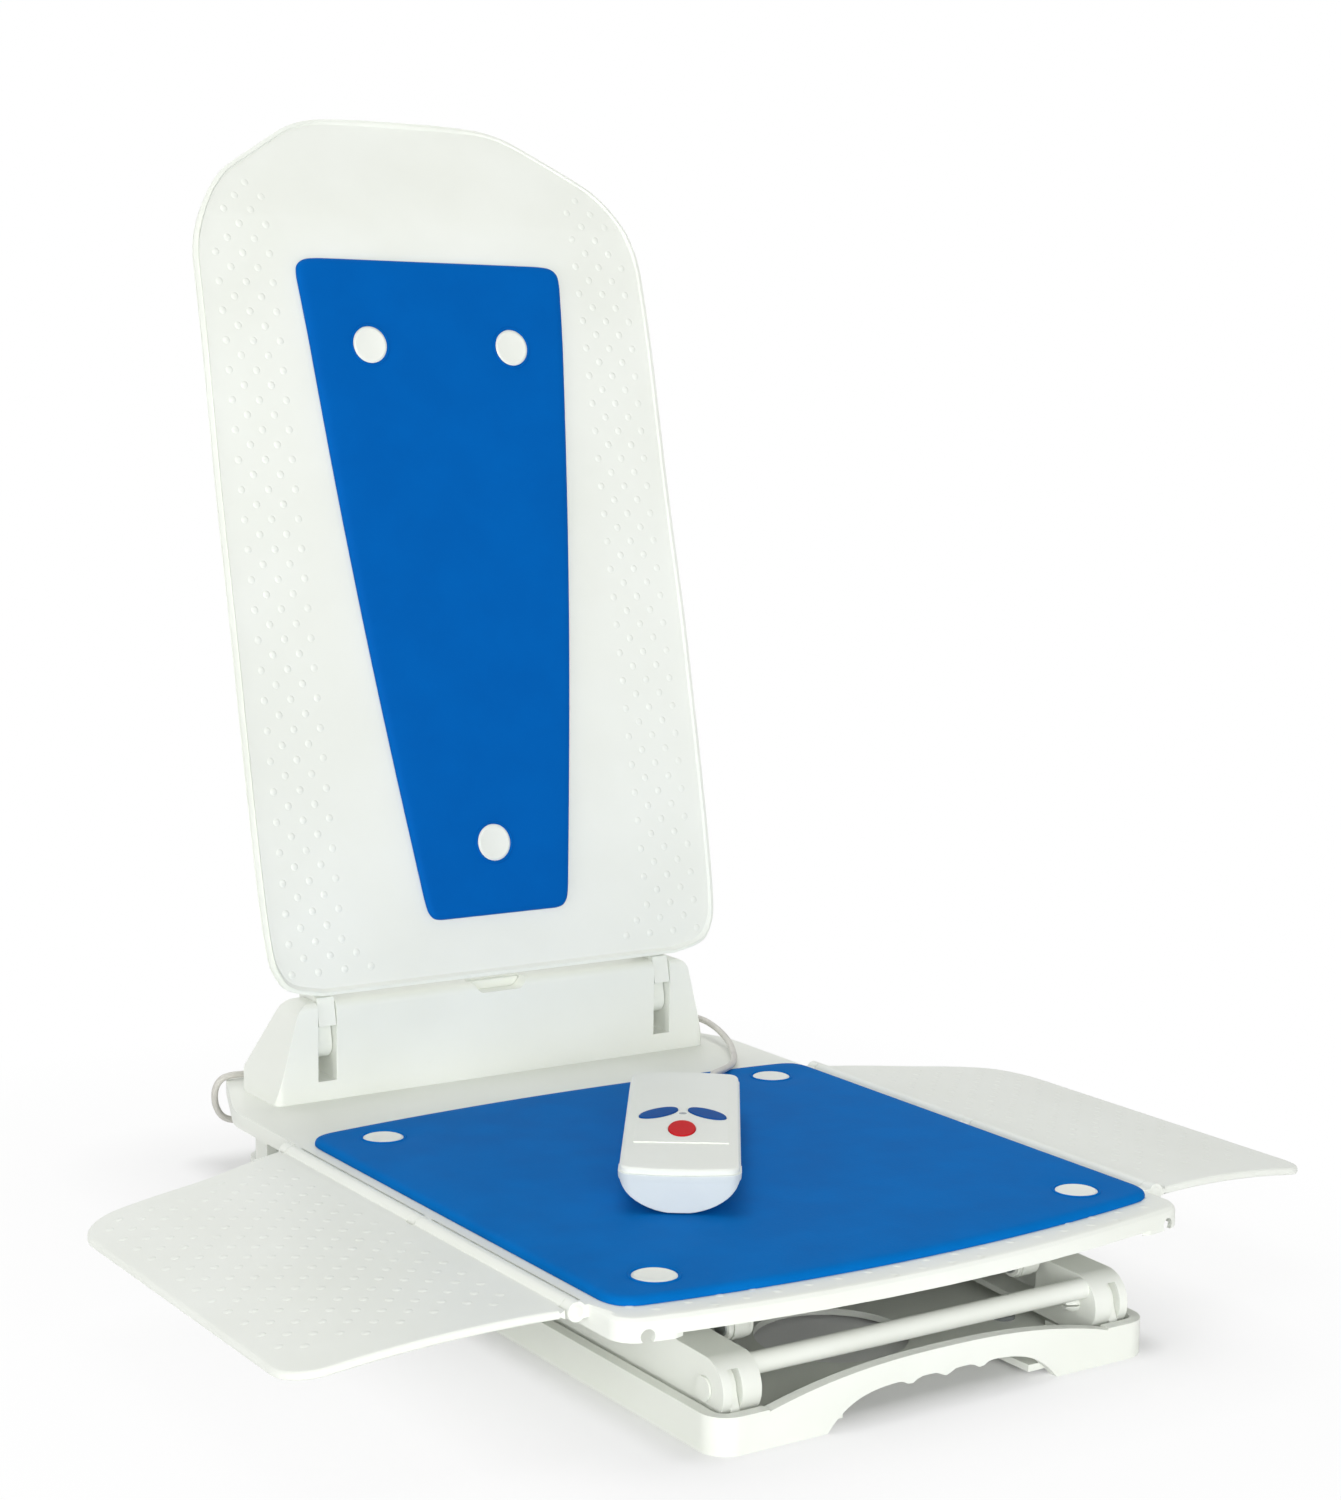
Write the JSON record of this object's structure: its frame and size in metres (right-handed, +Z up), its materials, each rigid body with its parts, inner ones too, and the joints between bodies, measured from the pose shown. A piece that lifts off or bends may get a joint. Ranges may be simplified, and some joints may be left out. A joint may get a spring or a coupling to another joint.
{
  "type": "bath lift",
  "caption": "Reclining bath lift: a flat base, a scissor under a powered seat with hinged side flaps, a reclining padded backrest and a corded handset.",
  "frame": {"origin": "on the floor, under the middle of the part's length and width", "axes": "+Z up, +Y from the seat's front edge to the backrest, +X to the sitter's left"},
  "size_m": [0.714, 0.6431, 0.728],
  "materials": {
    "white_shell": "fine satin moulding",
    "white_moulding": "satin moulding",
    "steel": "drawn bar",
    "grey_rubber": "moulded",
    "blue_pad": "fine leather grain",
    "blue_button": "smooth",
    "dark_plastic": "moulded",
    "motor_can": "painted can",
    "red_button": "smooth",
    "cap_plastic": "smooth",
    "board": "solder mask",
    "lens": "clear lens",
    "grey_cord": "smooth jacket"
  },
  "bodies": {
    "base": {"base_frame": "white_shell", "pivot_block_left": "white_moulding", "pivot_block_right": "white_moulding", "front_pin_left": "white_moulding", "front_pin_right": "white_moulding", "suction_cups": "grey_rubber"},
    "outer_arms": {"outer_arm_left": "white_moulding", "outer_arm_right": "white_moulding", "torque_tube": "white_moulding", "mid_pins": "steel", "rear_shafts": "steel"},
    "inner_arms": {"inner_arm_left": "white_moulding", "inner_arm_right": "white_moulding", "inner_shaft": "steel"},
    "base_roller_left": {"roller_left": "grey_rubber"},
    "base_roller_right": {"roller_right": "grey_rubber"},
    "crosshead": {"drive_nut": "dark_plastic", "slide_shoes": "grey_rubber"},
    "seat": {"seat_plate": "white_shell", "seat_forks": "white_moulding", "seat_pins": "steel", "slide_rails": "white_moulding", "drive_motor": "motor_can", "gearbox": "dark_plastic", "screw_bearings": "dark_plastic", "hinge_housing": "white_shell", "housing_screws": "steel", "backrest_pins": "steel", "flap_pins": "steel", "seat_pad": "blue_pad", "seat_studs": "white_moulding", "cord_gland": "dark_plastic", "cord": "grey_cord"},
    "screw": {"lead_screw": "steel"},
    "backrest": {"backrest_shell": "white_shell", "backrest_pad": "blue_pad", "backrest_studs": "white_moulding", "backrest_arm_left": "white_moulding", "backrest_arm_right": "white_moulding", "arm_screws": "steel"},
    "side_flap_left": {"flap_left": "white_shell"},
    "side_flap_right": {"flap_right": "white_shell"},
    "latch": {"release_latch": "white_moulding"},
    "handset": {"handset_hull": "white_shell", "handset_cover": "white_shell", "handset_cap": "cap_plastic", "battery_pack": "dark_plastic", "control_board": "board", "status_lens": "lens", "handset_relief": "grey_cord"},
    "up_button": {"button_up": "blue_button"},
    "down_button": {"button_down": "blue_button"},
    "stop_button": {"button_stop": "red_button"}
  },
  "joints": [
    {"name": "lift", "type": "hinge", "parent": "base", "child": "outer_arms", "pos_m": [0, -0.29454, 0.0285], "axis": [1, 0, 0], "range_deg": [0, 56.6]},
    {"name": "scissor_mid", "type": "hinge", "parent": "outer_arms", "child": "inner_arms", "pos_m": [0, -0.02972, 0.03832], "axis": [1, 0, 0], "range_deg": [-113.2, 0]},
    {"name": "scissor_seat", "type": "hinge", "parent": "inner_arms", "child": "seat", "pos_m": [0, -0.26356, 0.047], "axis": [1, 0, 0], "range_deg": [0, 56.6]},
    {"name": "scissor_nut", "type": "hinge", "parent": "outer_arms", "child": "crosshead", "pos_m": [0, 0.20412, 0.047], "axis": [1, 0, 0], "range_deg": [-56.6, 0]},
    {"name": "roller_spin_left", "type": "hinge", "parent": "inner_arms", "child": "base_roller_left", "pos_m": [0, 0.2351, 0.0285], "axis": [1, 0, 0], "continuous": true},
    {"name": "roller_spin_right", "type": "hinge", "parent": "inner_arms", "child": "base_roller_right", "pos_m": [0, 0.2351, 0.0285], "axis": [1, 0, 0], "continuous": true},
    {"name": "screw_spin", "type": "hinge", "parent": "seat", "child": "screw", "pos_m": [0, 0.07846, 0.047], "axis": [0, 1, 0], "continuous": true},
    {"name": "recline", "type": "hinge", "parent": "seat", "child": "backrest", "pos_m": [0, 0.17846, 0.112], "axis": [-1, 0, 0], "range_deg": [0, 38]},
    {"name": "flap_fold_left", "type": "hinge", "parent": "seat", "child": "side_flap_left", "pos_m": [-0.203, -0.09554, 0.073], "axis": [0, 1, 0], "range_deg": [0, 95]},
    {"name": "flap_fold_right", "type": "hinge", "parent": "seat", "child": "side_flap_right", "pos_m": [0.203, -0.09554, 0.073], "axis": [0, -1, 0], "range_deg": [0, 95]},
    {"name": "latch_press", "type": "slide", "parent": "seat", "child": "latch", "axis": [0, 0, -1], "range_m": [0, 0.005], "stiffness_N_per_m": 600},
    {"name": "handset_lift", "type": "slide", "parent": "seat", "child": "handset", "axis": [0, 0, 1], "range_m": [0, 0.15]},
    {"name": "up_press", "type": "slide", "parent": "handset", "child": "up_button", "axis": [0, 0, -1], "range_m": [0, 0.0015], "stiffness_N_per_m": 400},
    {"name": "down_press", "type": "slide", "parent": "handset", "child": "down_button", "axis": [0, 0, -1], "range_m": [0, 0.0015], "stiffness_N_per_m": 400},
    {"name": "stop_press", "type": "slide", "parent": "handset", "child": "stop_button", "axis": [0, 0, -1], "range_m": [0, 0.0015], "stiffness_N_per_m": 400}
  ],
  "couplings": [
    {"joint": "scissor_mid", "follows": "lift", "ratio": -2},
    {"joint": "scissor_seat", "follows": "lift", "ratio": 1},
    {"joint": "scissor_nut", "follows": "lift", "ratio": -1}
  ]
}
